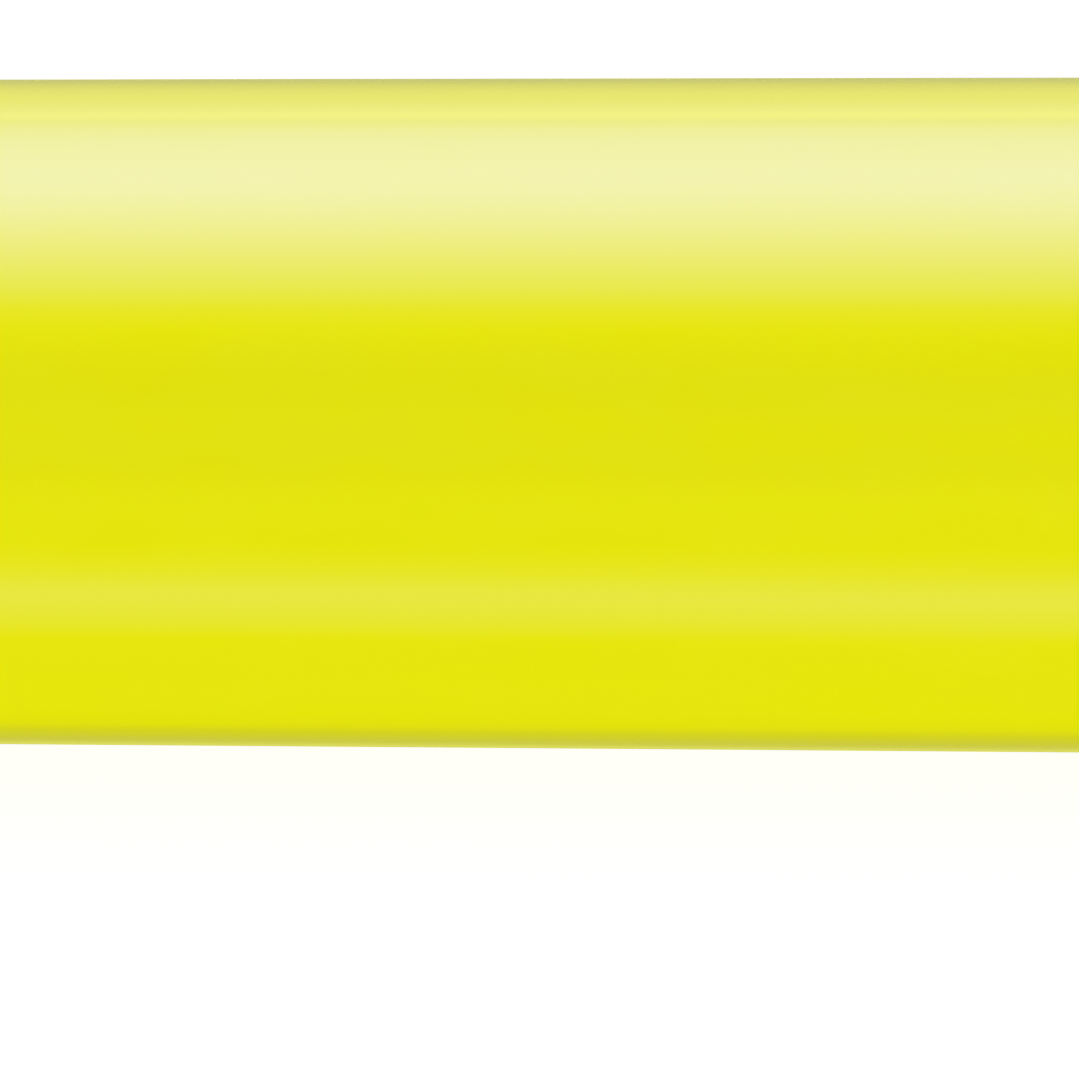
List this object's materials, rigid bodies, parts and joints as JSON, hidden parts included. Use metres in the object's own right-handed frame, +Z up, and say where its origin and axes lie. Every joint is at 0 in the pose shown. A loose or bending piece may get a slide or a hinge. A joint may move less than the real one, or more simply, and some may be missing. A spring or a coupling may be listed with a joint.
{
  "type": "highlighter",
  "caption": "Capped pocket highlighter: round fluorescent yellow barrel, pull-off cap with a spring clip and an airtight inner cap, and a felt chisel nib fed by a fibre ink reservoir.",
  "frame": {"origin": "middle of the footprint of the whole object, on the surface that it lies on, with its cap on", "axes": "+X along the pen's axis from the tail to the cap's crown, +Z up; the clip is on the -Y side and touches the surface"},
  "size_m": [0.134, 0.0146, 0.0118],
  "materials": {
    "body_plastic": "opaque fluorescent yellow, moulded, glossy",
    "cap_plastic": "opaque fluorescent yellow, moulded, slightly softer gloss",
    "white_plastic": "natural white, soft, satin",
    "film": "thin clear wrap",
    "inked_fibre": "polyester fibre soaked with yellow ink",
    "nib_felt": "pressed felt stained with yellow ink"
  },
  "bodies": {
    "pen": {"barrel": "body_plastic", "tail_plug": "body_plastic", "reservoir_film": "film", "reservoir_core": "inked_fibre", "breather_tube": "white_plastic", "nib_section": "body_plastic", "nib": "nib_felt"},
    "cap_liner": {"inner_cap": "white_plastic"},
    "cap": {"cap_shell": "cap_plastic", "cap_crown": "cap_plastic"},
    "clip": {"clip": "cap_plastic"}
  },
  "joints": [
    {"name": "cap_pull", "type": "slide", "parent": "pen", "child": "cap_liner", "axis": [1, 0, 0], "range_m": [0, 0.045]},
    {"name": "cap_turn", "type": "hinge", "parent": "cap_liner", "child": "cap", "pos_m": [0.046, 0.00142, 0.00589], "axis": [-1, 0, 0], "continuous": true},
    {"name": "clip_flex", "type": "hinge", "parent": "cap", "child": "clip", "pos_m": [0.05945, -0.00587, 0.00217], "axis": [0, -0.454, 0.891], "range_deg": [0, 4], "stiffness_Nm_per_rad": 0.4}
  ]
}
